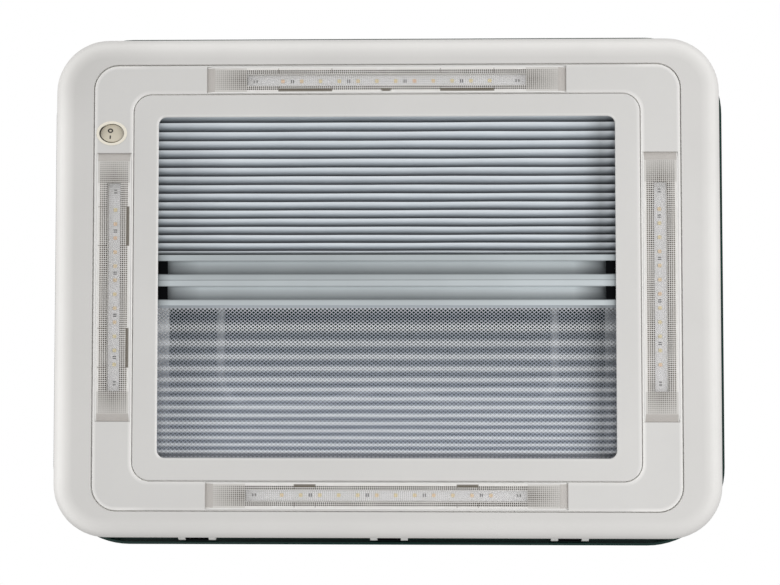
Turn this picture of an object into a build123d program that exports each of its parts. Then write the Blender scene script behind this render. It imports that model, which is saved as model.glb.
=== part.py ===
"""Caravan roof hatch with a double-skin dome, a propping bow, two pleated blinds and a lit ceiling trim.

Millimetres. +Z points out through the roof, z = 0 is the trim's lowest face in the room, +Y is the
hinge side and the origin is under the middle of the hatch."""

import math
import os

from build123d import *

os.makedirs("parts", exist_ok=True)

# Roof that the hatch fits
roof_cut_length = 700
roof_cut_width = 500
roof_thickness = 30
ceiling_level = 24
roof_level = ceiling_level + roof_thickness
fit_gap = 0.3
seat_gap = 0.3
bore_gap = 0.05
pin_clearance = 0.06

# Ceiling trim seen from the room
trim_lap = 50
trim_length = roof_cut_length + 2 * trim_lap
trim_width = roof_cut_width + 2 * trim_lap
trim_corner = 64
trim_wall = 2.5
trim_edge_round = 18
trim_floor_level = 6
trim_floor_top = trim_floor_level + trim_wall
trim_rib_height = 16
trim_rib_thickness = 2
trim_rib_count = 9

# Raised band that carries the lights, with a shadow gap on both sides
side_ring_breadth = 49.5
long_ring_breadth = 34
band_length = trim_length - 2 * side_ring_breadth
band_width = trim_width - 2 * long_ring_breadth
band_corner = 29
band_level = 1.0
band_thickness = 2.4
band_leg = 2.0
shadow_gap = 1.2

# Inner frame round the window
side_band_breadth = 48.1
long_band_breadth = 35.6
side_frame_breadth = 29.2
long_frame_breadth = 26.5
inner_length = band_length - 2 * side_band_breadth
inner_width = band_width - 2 * long_band_breadth
inner_corner = 21
inner_level = 0.6
inner_thickness = 2.5
inner_leg = 2.4
window_length = inner_length - 2 * side_frame_breadth
window_width = inner_width - 2 * long_frame_breadth
window_corner = 9.5

# Light units
long_cover_end_margin = 87.4
side_cover_end_margin = 69.9
long_cover_margin = 2.05
side_cover_margin = 3.25
long_cover_length = inner_length - 2 * long_cover_end_margin
long_cover_width = long_band_breadth - 2 * long_cover_margin
side_cover_length = inner_width - 2 * side_cover_end_margin
side_cover_width = side_band_breadth - 2 * side_cover_margin
cover_level = 0.8
cover_skin = 1.8
cover_wall = 1.4
cover_ramp = 8.0
cover_ramp_drop = 2.4
tray_wall = 1.2
tray_top = 13
board_length_share = 0.778
long_board_width = 13.5
side_board_width = 16.0
board_thickness = 1.5
chip_count = 12
chip_pitch_share = 0.0677
chip_size = 4.4
chip_height = 1.0
hook_length = 8
hook_reach = 2.4
hook_thickness = 1.5

# Rocker switch in the band
switch_inset = 81.5
switch_outward = 3.2
bezel_x = 18.4
bezel_y = 14.6
bezel_proud = 0.8
rocker_x = 14.0
rocker_y = 10.6
rocker_gap_x = 0.5
rocker_gap_y = 1.0
rocker_tilt = 6.5
rocker_proud = 0.1
rocker_depth = 7
rocker_pivot_depth = 3.4
switch_wall = 1.6
switch_back = 15
pivot_radius = 1.2
blade_place = 6
blade_width = 6.3
blade_thickness = 0.8
blade_length = 8
blade_root = 1

# Blind frame behind the window
rail_wall = 2.0
rail_lip = 1.6
rail_front = 3.4
rail_back = 20.7
rail_overlap = 11
rail_set_back = 17
rail_lip_set_back = 4
rail_foot = 12
rail_end = 17
shoe_low = 10
shoe_high = 14
shoe_rib = 1.2
shoe_rib_reach = 6
cassette_depth = 22
cassette_lip = 7.5
cassette_lip_set_back = 3
cassette_foot = 4.5

# Blinds
bar_width = 30.0
bar_lip = 7.1
bar_front = 5.5
bar_back = 18.0
bar_wall = 1.4
bar_lap = 3
channel_depth = 6.5
channel_wall = 2.5
meeting_place = -8.1
bar_meeting_gap = 0.4
plug_set_back = 0.4
plug_thickness = 2.0
shoe_half_width = 9
fabric_thickness = 0.7
fabric_tuck = 8.7
fabric_end_gap = 0.5
pleat_front = 6.3
pleat_back = 17.0
blackout_valley_share = 0.88
mesh_valley_share = 0.5
blackout_tuck_pleat = 4.0
blackout_first_pleat = 11.2
blackout_pleat_step = 0.11
blackout_bar_pleat = 4.5
blackout_pleats = 16
mesh_bar_pleat = 27.8
mesh_last_pleat = 7.4
mesh_pleat_spread = 10.8
mesh_pleat_ratio = 0.8
mesh_pleats = 15

# Frame on the roof
collar_wall = 3
collar_gap = 21
collar_corner = 27
collar_top = 75
collar_end_gap = 2.5
flange_reach = 46
flange_corner = 60
flange_thickness = 3
gasket_thickness = 2
gasket_inset = 4
boss_radius = 6
boss_bottom = 30
boss_inset = 12
boss_web = 3
boss_web_rise = 6
gusset_height = 10
gusset_reach = 12
gusset_thickness = 3
seal_width = 6
seal_height = 5.7

# Clamping frame above the ceiling trim
clamp_thickness = 3
clamp_reach = 22
clamp_corner = 45
clamp_screw_radius = 2.0
clamp_head_radius = 4.0
clamp_head_height = 3.0
clamp_screw_length = 32
clamp_end_margin = 90
clamp_side_margin = 110
trim_screw_radius = 1.75
trim_head_radius = 3.4
trim_head_height = 2.0
trim_post_radius = 4.5
clamp_lip = 2
clamp_lip_depth = 3
clamp_boss_rise = 2
trim_screw_tip = 2
trim_screw_insets = ((105, 7), (14, 38))

# Dome
dome_rear_overhang = 20.5
dome_front_overhang = 18
dome_side_overhang = 20
dome_corner = 96
skin = 3.0
skirt_drop = 12
rim_edge_round = 2.0
outer_crown_inset = 34
outer_crown_corner = 54
outer_crown_rise = 43
inner_rim_inset = 19
inner_rim_corner = 76
inner_crown_inset = 30
inner_crown_corner = 50
inner_crown_rise = 30
crown_taper = 35
crown_radius = 10500
crown_edge_round = 12

# Rear hinges, standing at uneven distances as on the real hatch
hinge_out = 9
hinge_rise = 17
hinge_shares = (-0.337, 0.003, 0.3215)
hinge_foot_depth = 14
hinge_foot_thickness = 2
lug_set_back = 6
lug_radius = 7.0
lug_width = 8.7
knuckle_radius = 6.6
knuckle_length = 28.4
hinge_pin_radius = 3.0
dome_opening = 45

# Bow that props the dome
bow_pivot_out = 12
bow_pivot_z = 66
bow_side_margin = 119
bow_reach_margin = 91.5
bow_hump = 27
bow_hump_place = 98
bow_rod = 5.0
bow_corner = 42
bow_wave = 150
bow_barrel_radius = 7.0
bow_barrel_length = 12
bow_pin_radius = 2.5
bow_cheek = 3.0
fork_plate = 3
fork_low = 9
fork_high = 8
cheek_half_height = 6.5
bow_swing = 36
catch_place = 141
catch_width = 16
catch_wall = 7
catch_hollow = 1.5
catch_slope = 4

# Turn latches inside the front edge
latch_inset = 57
latch_out = 21
latch_base_radius = 8
latch_base_height = 8
latch_hub_radius = 9
latch_hub_height = 9.7
latch_spindle = 3.0
latch_wall = 1.5
tongue_length = 17.5
tongue_width = 12
tongue_thickness = 3.5
grip_length = 21
grip_thickness = 5
grip_drop = 8
keeper_length = 40
keeper_reach = 11
keeper_thickness = 3.5
keeper_gap = 0.5


def plate(length, width, corner, low, high):
    """Rounded rectangle between two levels."""
    return Pos(0, 0, low) * extrude(RectangleRounded(length, width, corner), amount=high - low)


def ring(length, width, corner, wall, low, high):
    """Rounded ring of one wall thickness, measured over its outside."""
    inner_radius = max(corner - wall, 0.5)
    inside = plate(length - 2 * wall, width - 2 * wall, inner_radius, low - 1, high + 1)
    return plate(length, width, corner, low, high) - inside


def block(x_range, y_range, z_range):
    """Box between three pairs of coordinates."""
    sizes = [high - low for low, high in (x_range, y_range, z_range)]
    middle = [(low + high) / 2 for low, high in (x_range, y_range, z_range)]
    return Pos(*middle) * Box(*sizes)


def rod(x, y, low, high, radius):
    """Upright cylinder."""
    return Pos(x, y, (low + high) / 2) * Cylinder(radius, high - low)


def cross_rod(x_range, y, z, radius):
    """Cylinder along X."""
    low, high = x_range
    return Pos((low + high) / 2, y, z) * Rot(0, 90, 0) * Cylinder(radius, high - low)


def along_x(profile, half_length):
    """Section drawn in Y and Z, drawn out along X on both sides of the middle."""
    return extrude(Plane.YZ * profile, amount=half_length, both=True)


def along_y(profile, half_length):
    """Section drawn in X and Z, drawn out along Y on both sides of the middle."""
    return extrude(Plane.XZ * profile, amount=half_length, both=True)


def low_edges(shape, level):
    """Edges that lie in one level."""
    flat = [e for e in shape.edges() if e.bounding_box().size.Z < 1e-4]
    return [e for e in flat if abs(e.center().Z - level) < 1e-4]


def both_sides(solid):
    """The solid and its mirror image across the middle plane x = 0."""
    return [solid, mirror(solid, Plane.YZ)]


def save(name, solids):
    """Writes one node from one solid or several."""
    pieces = solids if isinstance(solids, list) else [solids]
    loose = [one for piece in pieces for one in piece.solids()]
    shape = loose[0] if len(loose) == 1 else Compound(children=loose)
    shape.label = name
    export_step(shape, f"parts/{name}.step")


# Places that several pieces share
long_light_y = (band_width + inner_width) / 4
side_light_x = (band_length + inner_length) / 4
floor_hole_length = inner_length - 2 * inner_leg
floor_hole_width = inner_width - 2 * inner_leg
collar_length = roof_cut_length - 2 * collar_gap
collar_width = roof_cut_width - 2 * collar_gap
collar_inner_length = collar_length - 2 * collar_wall
collar_inner_width = collar_width - 2 * collar_wall
collar_outer_corner = collar_corner + collar_wall
front_wall = -collar_inner_width / 2
flange_level = roof_level + gasket_thickness
flange_top = flange_level + flange_thickness
flange_length = roof_cut_length + 2 * flange_reach
flange_width = roof_cut_width + 2 * flange_reach
clamp_level = ceiling_level - clamp_thickness
clamp_bottom = clamp_level - clamp_lip_depth
clamp_boss_top = ceiling_level + clamp_boss_rise
collar_bottom = ceiling_level + collar_end_gap
boss_x = roof_cut_length / 2 - boss_inset
boss_y = roof_cut_width / 2 - boss_inset
clamp_pitch_x = (roof_cut_length - 2 * clamp_end_margin) / 4
clamp_pitch_y = (roof_cut_width - 2 * clamp_side_margin) / 2
rim_level = collar_top + seal_height + seat_gap + skin
rim_bottom = rim_level - skin
dome_length = flange_length + 2 * dome_side_overhang
dome_width = flange_width + dome_rear_overhang + dome_front_overhang
dome_middle = (dome_rear_overhang - dome_front_overhang) / 2
hinge_y = flange_width / 2 + hinge_out
hinge_z = flange_top + hinge_rise
hinge_places = [share * roof_cut_length for share in hinge_shares]
bow_pivot_y = front_wall + bow_pivot_out
bow_half_width = collar_inner_length / 2 - bow_side_margin
bow_reach = collar_inner_width - bow_reach_margin
latch_x = bow_half_width - latch_inset
latch_y = front_wall + latch_out
switch_x = -side_light_x - switch_outward
switch_y = switch_inset - band_width / 2
rocker_rise = rocker_y * math.tan(math.radians(rocker_tilt))
rocker_level = band_level - bezel_proud + rocker_proud + 2 * rocker_rise
rocker_pivot_z = rocker_level + rocker_pivot_depth
rail_inner = window_length / 2 - rail_overlap
rail_web = window_length / 2 + rail_set_back
rail_front_lip = window_length / 2 + rail_lip_set_back
fabric_half_length = window_length / 2 + bar_lap
fabric_end = window_width / 2 + fabric_tuck
blackout_bar_low = meeting_place - bar_meeting_gap / 2 - bar_width
flyscreen_bar_high = meeting_place + bar_meeting_gap / 2 + bar_width
tongue_top = rim_bottom - latch_base_height - seat_gap - (latch_hub_height - tongue_thickness) / 2

light_units = {
    "front": (0, -long_light_y, 0, long_cover_length, long_cover_width, long_board_width),
    "rear": (0, long_light_y, 180, long_cover_length, long_cover_width, long_board_width),
    "left": (-side_light_x, 0, -90, side_cover_length, side_cover_width, side_board_width),
    "right": (side_light_x, 0, 90, side_cover_length, side_cover_width, side_board_width),
}


def light_place(unit):
    """Where a light unit's own frame stands in the hatch."""
    x, y, turn = light_units[unit][:3]
    return Pos(x, y, 0) * Rot(0, 0, turn)


def unit_block(unit, half_x, half_y, low, high):
    """Block in a light unit's own frame, centred on the unit."""
    return light_place(unit) * block((-half_x, half_x), (-half_y, half_y), (low, high))


def tray_halves(unit):
    """Half length and half width of a light unit's reflector tray."""
    length, width = light_units[unit][3:5]
    return length / 2 - cover_ramp - seat_gap, width / 2 - cover_wall - seat_gap


def trim_posts():
    """Places of the trim's screws, four pairs mirrored about both middle planes."""
    places = [(roof_cut_length / 2 - x, roof_cut_width / 2 - y) for x, y in trim_screw_insets]
    return [(sx * x, sy * y) for x, y in places for sx in (-1, 1) for sy in (-1, 1)]


def clamp_places():
    """Places of the screws that pull the clamping frame to the roof frame."""
    long_sides = [(k * clamp_pitch_x, side * boss_y) for k in range(-2, 3) for side in (-1, 1)]
    short_sides = [(side * boss_x, k * clamp_pitch_y) for k in range(-1, 2) for side in (-1, 1)]
    return long_sides + short_sides


def switch_ellipse(half_x, half_y, low, high):
    """Upright oval block at the switch."""
    return Pos(switch_x, switch_y, low) * extrude(Ellipse(half_x, half_y), amount=high - low)


def switch_hole():
    """Oval hole that the body of the switch goes through."""
    wall = switch_wall + fit_gap
    return switch_ellipse(rocker_x + rocker_gap_x + wall, rocker_y + rocker_gap_y + wall, 0, ceiling_level)


def outer_trim():
    """Ceiling frame: rounded outer ring, pocket for the band, ribbed back and screw posts."""
    outside = plate(trim_length, trim_width, trim_corner, 0, ceiling_level)
    outside = fillet(low_edges(outside, 0), trim_edge_round)
    pocket_length = band_length + 2 * shadow_gap
    pocket_width = band_width + 2 * shadow_gap
    pocket_corner = band_corner + shadow_gap
    body = outside - plate(pocket_length, pocket_width, pocket_corner, -1, trim_floor_level)
    body -= plate(floor_hole_length, floor_hole_width, inner_corner, -1, ceiling_level + 1)
    hollow = plate(
        trim_length - 2 * trim_wall,
        trim_width - 2 * trim_wall,
        trim_corner - trim_wall,
        trim_wall,
        ceiling_level + 1,
    )
    hollow = fillet(low_edges(hollow, trim_wall), trim_edge_round - trim_wall)
    hollow -= plate(
        pocket_length + 2 * trim_wall,
        pocket_width + 2 * trim_wall,
        pocket_corner + trim_wall,
        0,
        trim_floor_top,
    )
    body -= hollow
    body += outside & trim_ribs(pocket_length / 2, pocket_width / 2)
    for x, y in trim_posts():
        body += rod(x, y, trim_floor_level + 1, clamp_bottom, trim_post_radius)
        body -= rod(x, y, trim_floor_level - 1, clamp_bottom + 1, trim_screw_radius + fit_gap)
    for unit in light_units:
        half_x, half_y = tray_halves(unit)
        body -= unit_block(unit, half_x + fit_gap, half_y + fit_gap, 0, ceiling_level)
    return body - switch_hole()


def trim_ribs(pocket_x, pocket_y):
    """Ribs across the back of the outer ring, drawn out to its outside."""
    ribs = []
    half = trim_rib_thickness / 2
    heights = (trim_wall / 2, trim_rib_height)
    x_step = (trim_length - 4 * trim_corner) / (trim_rib_count - 1)
    y_step = (trim_width - 4 * trim_corner) / (trim_rib_count - 3)
    for k in range(trim_rib_count):
        x = (k - (trim_rib_count - 1) / 2) * x_step
        for side in (-1, 1):
            reach = sorted((side * pocket_y, side * trim_width / 2))
            ribs.append(block((x - half, x + half), reach, heights))
    for k in range(trim_rib_count - 2):
        y = (k - (trim_rib_count - 3) / 2) * y_step
        for side in (-1, 1):
            reach = sorted((side * pocket_x, side * trim_length / 2))
            ribs.append(block(reach, (y - half, y + half), heights))
    return Part() + ribs


def light_band():
    """Band that snaps over the trim's screws, with an opening for each light and the switch."""
    hole_length = inner_length + 2 * shadow_gap
    hole_width = inner_width + 2 * shadow_gap
    hole_corner = inner_corner + shadow_gap
    leg_level = band_level + band_thickness
    body = plate(band_length, band_width, band_corner, band_level, trim_floor_level)
    body -= plate(hole_length, hole_width, hole_corner, 0, trim_floor_level + 1)
    body = fillet(low_edges(body, band_level), shadow_gap)
    inside = plate(
        band_length - 2 * band_leg,
        band_width - 2 * band_leg,
        band_corner - band_leg,
        leg_level,
        trim_floor_level + 1,
    )
    inside -= plate(
        hole_length + 2 * band_leg,
        hole_width + 2 * band_leg,
        hole_corner + band_leg,
        0,
        trim_floor_level + 2,
    )
    body -= inside
    for unit in light_units:
        length, width = light_units[unit][3:5]
        body -= unit_block(unit, length / 2 + fit_gap, width / 2 + fit_gap, 0, trim_floor_level + 1)
    return body - switch_hole()


def inner_trim():
    """Inner frame with a rolled lip round the window."""
    top = inner_level + inner_thickness
    body = plate(inner_length, inner_width, inner_corner, inner_level, trim_floor_level)
    body = fillet(low_edges(body, inner_level), shadow_gap)
    body -= plate(
        inner_length - 2 * inner_leg,
        inner_width - 2 * inner_leg,
        inner_corner - inner_leg,
        top,
        trim_floor_level + 1,
    )
    body -= plate(window_length, window_width, window_corner, 0, trim_floor_level)
    reach_x = (inner_length + window_length) / 4
    reach_y = (inner_width + window_width) / 4
    lip = [e for e in low_edges(body, inner_level) if abs(e.center().X) < reach_x]
    lip = [e for e in lip if abs(e.center().Y) < reach_y]
    return fillet(lip, inner_thickness * 0.9)


def light_tray(unit):
    """Reflector tray that drops through the trim's floor and hooks behind it."""
    half_x, half_y = tray_halves(unit)
    low = cover_level + cover_skin
    body = block((-half_x, half_x), (-half_y, half_y), (low, tray_top))
    body -= block(
        (-half_x + tray_wall, half_x - tray_wall),
        (-half_y + tray_wall, half_y - tray_wall),
        (low - 1, tray_top - tray_wall),
    )
    for side in (-1, 1):
        for x in (-half_x / 2, half_x / 2):
            reach = sorted((side * (half_y - tray_wall), side * (half_y + hook_reach)))
            hook = (x - hook_length / 2, x + hook_length / 2)
            body += block(hook, reach, (trim_floor_top, trim_floor_top + hook_thickness))
    return light_place(unit) * body


def led_strip(unit):
    """Circuit board with its light chips, lying against the tray's back."""
    board_length = light_units[unit][3] * board_length_share
    board_width = light_units[unit][5]
    chip_pitch = board_length * chip_pitch_share
    back = tray_top - tray_wall
    front = back - board_thickness
    body = block((-board_length / 2, board_length / 2), (-board_width / 2, board_width / 2), (front, back))
    half = chip_size / 2
    for chip in range(chip_count):
        x = (chip - (chip_count - 1) / 2) * chip_pitch
        body += block((x - half, x + half), (-half, half), (front - chip_height, front))
    return light_place(unit) * body


def light_cover(unit):
    """Clear cover: a flat lens with ramped ends and walls that stand on the trim's floor."""
    length, width = light_units[unit][3:5]
    half_x = length / 2
    half_y = width / 2
    body = block((-half_x, half_x), (-half_y, half_y), (cover_level, trim_floor_level))
    for side in (-1, 1):
        ramp = Polyline(
            (side * (half_x - cover_ramp), cover_level),
            (side * (half_x + cover_ramp), cover_level + 2 * cover_ramp_drop),
            (side * (half_x + cover_ramp), cover_level - 1),
            (side * (half_x - cover_ramp), cover_level - 1),
            close=True,
        )
        body -= along_y(make_face(ramp), half_y + 1)
    body -= block(
        (-half_x + cover_ramp, half_x - cover_ramp),
        (-half_y + cover_wall, half_y - cover_wall),
        (cover_level + cover_skin, trim_floor_level + 1),
    )
    return light_place(unit) * body


def switch_housing():
    """Oval bezel and body of the rocker switch."""
    hole_x = rocker_x + rocker_gap_x
    hole_y = rocker_y + rocker_gap_y
    face = band_level - bezel_proud
    bezel = fillet(low_edges(switch_ellipse(bezel_x, bezel_y, face, band_level), face), bezel_proud * 0.8)
    body = bezel + switch_ellipse(hole_x + switch_wall, hole_y + switch_wall, band_level, switch_back)
    body -= switch_ellipse(hole_x, hole_y, 0, switch_back - switch_wall)
    reach = hole_x + switch_wall + 1
    pivot_hole = pivot_radius + pin_clearance
    body -= cross_rod((switch_x - reach, switch_x + reach), switch_y, rocker_pivot_z, pivot_hole)
    for side in (-1, 1):
        body -= blade(side, bore_gap)
    return body


def blade(side, grow):
    """One flat terminal through the back of the switch."""
    x = switch_x + side * blade_place
    half_x = blade_thickness / 2 + grow
    half_y = blade_width / 2 + grow
    inside = switch_back - switch_wall - blade_root
    heights = (inside, inside + blade_length)
    return block((x - half_x, x + half_x), (switch_y - half_y, switch_y + half_y), heights)


def switch_rocker():
    """Rocker with a shallow valley across its face, resting with its front half pressed."""
    rise = rocker_rise
    body = switch_ellipse(rocker_x, rocker_y, rocker_level, rocker_level + rise + rocker_depth)
    for side in (-1, 1):
        wedge = Polyline(
            (switch_y, rocker_level + rise),
            (switch_y + side * 2 * rocker_y, rocker_level - rise),
            (switch_y + side * 2 * rocker_y, rocker_level - 2 * rise),
            (switch_y, rocker_level - 2 * rise),
            close=True,
        )
        cutter = extrude(Plane.YZ * make_face(wedge), amount=rocker_x + 1, both=True)
        body -= Pos(switch_x, 0, 0) * cutter
    reach = rocker_x + rocker_gap_x + switch_wall - fit_gap
    body += cross_rod((switch_x - reach, switch_x + reach), switch_y, rocker_pivot_z, pivot_radius)
    pivot = Axis((switch_x, switch_y, rocker_pivot_z), (1, 0, 0))
    return body.rotate(pivot, -rocker_tilt)


def rail_section():
    """Side rail of the blinds: web, room lip, roof lip, foot on the trim and two guide ribs."""
    foot = rail_web + rail_wall + rail_foot
    face = section_box(rail_web, rail_web + rail_wall, rail_front, rail_back)
    face += section_box(rail_inner, rail_web, rail_back - rail_wall, rail_back)
    face += section_box(rail_front_lip, rail_web, rail_front, rail_front + rail_lip)
    face += section_box(rail_web, foot, trim_floor_top, trim_floor_top + rail_wall)
    for low in (shoe_low - seat_gap - shoe_rib, shoe_high + seat_gap):
        face += section_box(rail_web - shoe_rib_reach, rail_web, low, low + shoe_rib)
    return face


def section_box(low_a, high_a, low_b, high_b):
    """Rectangle in a section, between two pairs of coordinates."""
    return Pos((low_a + high_a) / 2, (low_b + high_b) / 2) * Rectangle(high_a - low_a, high_b - low_b)


def cassette_section():
    """Housing that holds the folded cloth at the front and rear, open towards the window."""
    window_edge = window_width / 2
    back = window_edge + cassette_depth
    lip_edge = window_edge + cassette_lip_set_back
    face = section_box(back - rail_wall, back, rail_front, rail_back)
    face += section_box(window_edge - cassette_lip, back, rail_back - rail_wall, rail_back)
    face += section_box(lip_edge, back, rail_front, rail_front + rail_lip)
    face += section_box(back - 1, back + cassette_foot, trim_floor_top, trim_floor_top + rail_wall)
    return face


def bar_section(low):
    """Hollow pull bar with a round-bottomed finger channel between two lips."""
    high = low + bar_width
    channel_low = low + bar_lip
    channel_high = high - bar_lip
    middle = (channel_low + channel_high) / 2
    channel_back = bar_front + channel_depth
    wall_end = bar_front + channel_wall
    inside_front = bar_front + bar_wall
    inside_back = bar_back - bar_wall
    groove = make_face(
        Polyline((channel_low, bar_front), (channel_low, wall_end))
        + ThreePointArc((channel_low, wall_end), (middle, channel_back), (channel_high, wall_end))
        + Polyline((channel_high, wall_end), (channel_high, bar_front), (channel_low, bar_front))
    )
    face = section_box(low, high, bar_front, bar_back) - groove
    face -= section_box(low + bar_wall, channel_low - bar_wall, inside_front, inside_back)
    face -= section_box(channel_high + bar_wall, high - bar_wall, inside_front, inside_back)
    return face


def end_plugs(low):
    """Black plugs in the ends of a bar, with shoes that run in the side rails."""
    middle = low + bar_width / 2
    half = bar_width / 2 - bar_lip - fit_gap
    cap_half = bar_width / 2 - plug_set_back
    front = bar_front + plug_set_back
    cap = fabric_half_length + seat_gap
    plug = block((rail_inner, cap + 1), (middle - half, middle + half), (front, front + plug_thickness))
    plug += block((cap, cap + plug_thickness), (middle - cap_half, middle + cap_half), (front, bar_back))
    shoe_span = (middle - shoe_half_width, middle + shoe_half_width)
    plug += block((cap, rail_web - 1), shoe_span, (shoe_low, shoe_high))
    return both_sides(plug)


def spread(shares, length):
    """Pitches in the given proportions that fill a length."""
    return [share * length / sum(shares) for share in shares]


def blackout_pitches():
    """Pleats from the front tuck to the blackout bar, a little closer towards the bar."""
    pleats = [blackout_first_pleat - k * blackout_pleat_step for k in range(blackout_pleats)]
    shares = [blackout_tuck_pleat, *pleats, blackout_bar_pleat]
    return spread(shares, blackout_bar_low + fabric_end)


def mesh_pitches():
    """Pleats of the flyscreen, wide beside its bar and closer towards the rear."""
    pleats = [mesh_last_pleat + mesh_pleat_spread * mesh_pleat_ratio**k for k in range(mesh_pleats)]
    return spread([mesh_bar_pleat, *pleats], fabric_end - flyscreen_bar_high)


def pleated_cloth(start, pitches, valley_share):
    """Folded sheet: each pleat slopes back from its crest to its valley and returns to the next crest."""
    front = [(start, pleat_front)]
    place = start
    for pitch in pitches:
        front.append((place + pitch * valley_share, pleat_back))
        place += pitch
        front.append((place, pleat_front))
    back = [(y, z + fabric_thickness) for y, z in reversed(front)]
    sheet = make_face(Polyline(*front, *back, close=True))
    return along_x(sheet, fabric_half_length - fabric_end_gap)


def roof_frame():
    """Collar and flange on the roof, with screw bosses below and gussets above."""
    body = plate(collar_length, collar_width, collar_outer_corner, collar_bottom, collar_top)
    body += plate(flange_length, flange_width, flange_corner, flange_level, flange_top)
    for x, y in clamp_places():
        body += rod(x, y, boss_bottom, flange_level + 1, boss_radius)
        body += boss_web_block(x, y)
    body += gussets()
    body -= plate(collar_inner_length, collar_inner_width, collar_corner, 0, collar_top + 1)
    for x, y in clamp_places():
        body -= rod(x, y, boss_bottom - 1, flange_level - 1, clamp_screw_radius + bore_gap)
    return body


def boss_web_block(x, y):
    """Web that joins one screw boss to the collar."""
    half = boss_web / 2
    heights = (boss_bottom + boss_web_rise, flange_level + 1)
    if abs(y) < boss_y - 1:
        wall = math.copysign(collar_length / 2 - 1, x)
        return block(sorted((x, wall)), (y - half, y + half), heights)
    wall = math.copysign(collar_width / 2 - 1, y)
    return block((x - half, x + half), sorted((y, wall)), heights)


def gussets():
    """Triangular stiffeners between the collar and the flange."""
    rise = Polyline((0, 0), (gusset_reach, 0), (0, gusset_height), close=True)
    gusset = extrude(Plane.XZ * make_face(rise), amount=gusset_thickness / 2, both=True)
    pieces = []
    sink = 0.5
    for side in (-1, 1):
        for k in (-1.5, -0.5, 0.5, 1.5):
            spot = Pos(k * clamp_pitch_x, side * (collar_width / 2 - sink), flange_top - sink)
            pieces.append(spot * Rot(0, 0, side * 90) * gusset)
        for k in (-0.5, 0.5):
            spot = Pos(side * (collar_length / 2 - sink), k * clamp_pitch_y, flange_top - sink)
            pieces.append(spot * Rot(0, 0, 90 - side * 90) * gusset)
    return Part() + pieces


def roof_gasket():
    """Sealing bed between the flange and the roof skin."""
    return ring(
        flange_length - 2 * gasket_inset,
        flange_width - 2 * gasket_inset,
        flange_corner - gasket_inset,
        flange_reach - 2 * gasket_inset,
        roof_level,
        flange_level,
    )


def clamp_frame():
    """Flat frame under the ceiling that the screws pull up, with a stiffening lip along both edges."""
    length = roof_cut_length + 2 * clamp_reach
    width = roof_cut_width + 2 * clamp_reach
    body = plate(length, width, clamp_corner, clamp_level, ceiling_level)
    body += ring(length, width, clamp_corner, clamp_lip, clamp_bottom, clamp_level)
    inner_lip = (collar_inner_length + 2 * clamp_lip, collar_inner_width + 2 * clamp_lip)
    body += ring(*inner_lip, collar_corner + clamp_lip, clamp_lip, clamp_bottom, clamp_level)
    for x, y in trim_posts():
        body += rod(x, y, clamp_bottom, clamp_boss_top, trim_post_radius)
        body -= rod(x, y, clamp_bottom - 1, clamp_boss_top + 1, trim_screw_radius + bore_gap)
    for x, y in clamp_places():
        body -= rod(x, y, 0, collar_top, clamp_screw_radius + fit_gap)
    return body - plate(collar_inner_length, collar_inner_width, collar_corner, 0, collar_top)


def screw(x, y, head_bottom, head_height, head_radius, shank_radius, shank_length):
    """Pan-head screw pointing up."""
    seat = head_bottom + head_height
    body = rod(x, y, head_bottom, seat, head_radius)
    body = fillet(low_edges(body, head_bottom), head_height * 0.45)
    return body + rod(x, y, seat, seat + shank_length, shank_radius)


def clamp_screws():
    """Screws through the clamping frame into the roof frame's bosses."""
    bottom = clamp_level - clamp_head_height
    sizes = (clamp_head_height, clamp_head_radius, clamp_screw_radius, clamp_screw_length)
    return [screw(x, y, bottom, *sizes) for x, y in clamp_places()]


def trim_screws():
    """Screws under the band that hold the trim to the clamping frame."""
    bottom = trim_floor_level - trim_head_height
    reach = clamp_boss_top + trim_screw_tip - trim_floor_level
    sizes = (trim_head_height, trim_head_radius, trim_screw_radius, reach)
    return [screw(x, y, bottom, *sizes) for x, y in trim_posts()]


def crown(length, width, corner, base, top):
    """Tapered, crowned block that a dome skin is formed over."""
    outline = RectangleRounded(length, width, corner)
    body = Pos(0, 0, base) * extrude(outline, amount=top - base + 1, taper=crown_taper)
    body &= Pos(0, 0, top - crown_radius) * Sphere(crown_radius)
    middle = (base + top) / 2
    rim = [e for e in body.edges() if e.center().Z > middle and e.bounding_box().size.Z < middle - base]
    return fillet(rim, crown_edge_round)


def crown_shell(length, width, corner, base, top):
    """Outside and inside of a crown of one skin's thickness, measured over its outside."""
    outside = crown(length, width, corner, base, top)
    inside = crown(length - 2 * skin, width - 2 * skin, corner - skin, base, top - skin)
    return outside, inside


def dome_outer():
    """Outer skin: rim with a drip skirt and a tapered crown."""
    outside, inside = crown_shell(
        dome_length - 2 * outer_crown_inset,
        dome_width - 2 * outer_crown_inset,
        outer_crown_corner,
        rim_level,
        rim_level + outer_crown_rise,
    )
    bottom = rim_level - skirt_drop
    body = plate(dome_length, dome_width, dome_corner, bottom, rim_level + skin)
    body = fillet(low_edges(body, rim_level + skin), rim_edge_round)
    body -= plate(dome_length - 2 * skin, dome_width - 2 * skin, dome_corner - skin, bottom - 1, rim_level)
    return Pos(0, dome_middle, 0) * (body + outside - inside)


def dome_inner():
    """Inner skin: flat rim bonded under the outer rim and a lower crown."""
    margin = inner_crown_inset - skin
    outside, inside = crown_shell(
        collar_inner_length - 2 * margin,
        collar_inner_width - 2 * margin,
        inner_crown_corner + skin,
        rim_bottom,
        rim_level + inner_crown_rise + skin,
    )
    body = Pos(0, dome_middle, 0) * plate(
        dome_length - 2 * inner_rim_inset,
        dome_width - 2 * inner_rim_inset,
        inner_rim_corner,
        rim_bottom,
        rim_level,
    )
    return body + outside - inside


def dome_seal():
    """Bulb seal along the top of the collar."""
    overlap = (seal_width - collar_wall) / 2
    body = ring(
        collar_length + 2 * overlap,
        collar_width + 2 * overlap,
        collar_outer_corner + overlap,
        seal_width,
        collar_top,
        collar_top + seal_height,
    )
    return fillet(low_edges(body, collar_top + seal_height), seal_width * 0.4)


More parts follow.
